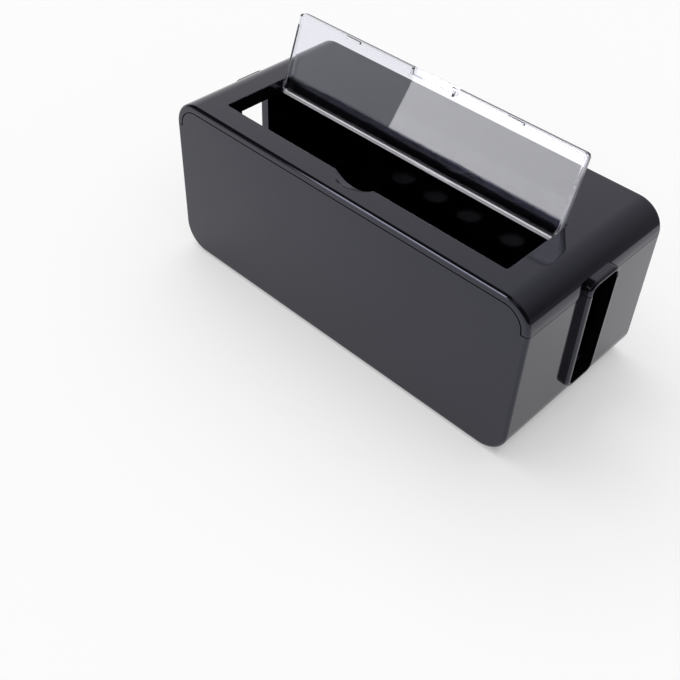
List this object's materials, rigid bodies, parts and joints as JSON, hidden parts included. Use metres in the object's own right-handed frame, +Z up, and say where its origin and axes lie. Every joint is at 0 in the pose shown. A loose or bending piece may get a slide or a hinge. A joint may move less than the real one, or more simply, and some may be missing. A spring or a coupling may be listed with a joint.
{
  "type": "cable management box",
  "caption": "Long box that hides a power strip and its cables, with a cable slot in each end, a lift-off lid and a clear flip-up cover over the lid's window.",
  "frame": {"origin": "centre of the box's footprint, on the surface that the feet stand on", "axes": "+X along the box to its right end, -Y to the front that the window and its finger scoop lie nearer to, +Z up"},
  "size_m": [0.3296, 0.147, 0.1817],
  "materials": {
    "shell": "high gloss moulded black",
    "clear": "clear moulded plastic, polished",
    "foot": "smooth satin"
  },
  "bodies": {
    "base": {"base_box": "shell", "foot_front_left": "foot", "foot_front_right": "foot", "foot_rear_left": "foot", "foot_rear_right": "foot"},
    "lid": {"top_lid": "shell"},
    "cover": {"flip_cover": "clear"}
  },
  "joints": [
    {"name": "lid_lift", "type": "slide", "parent": "base", "child": "lid", "axis": [0, 0, 1], "range_m": [0, 0.08]},
    {"name": "cover_flip", "type": "hinge", "parent": "lid", "child": "cover", "pos_m": [0, 0.002, 0.1284], "axis": [1, 0, 0], "range_deg": [0, 108.5]}
  ]
}
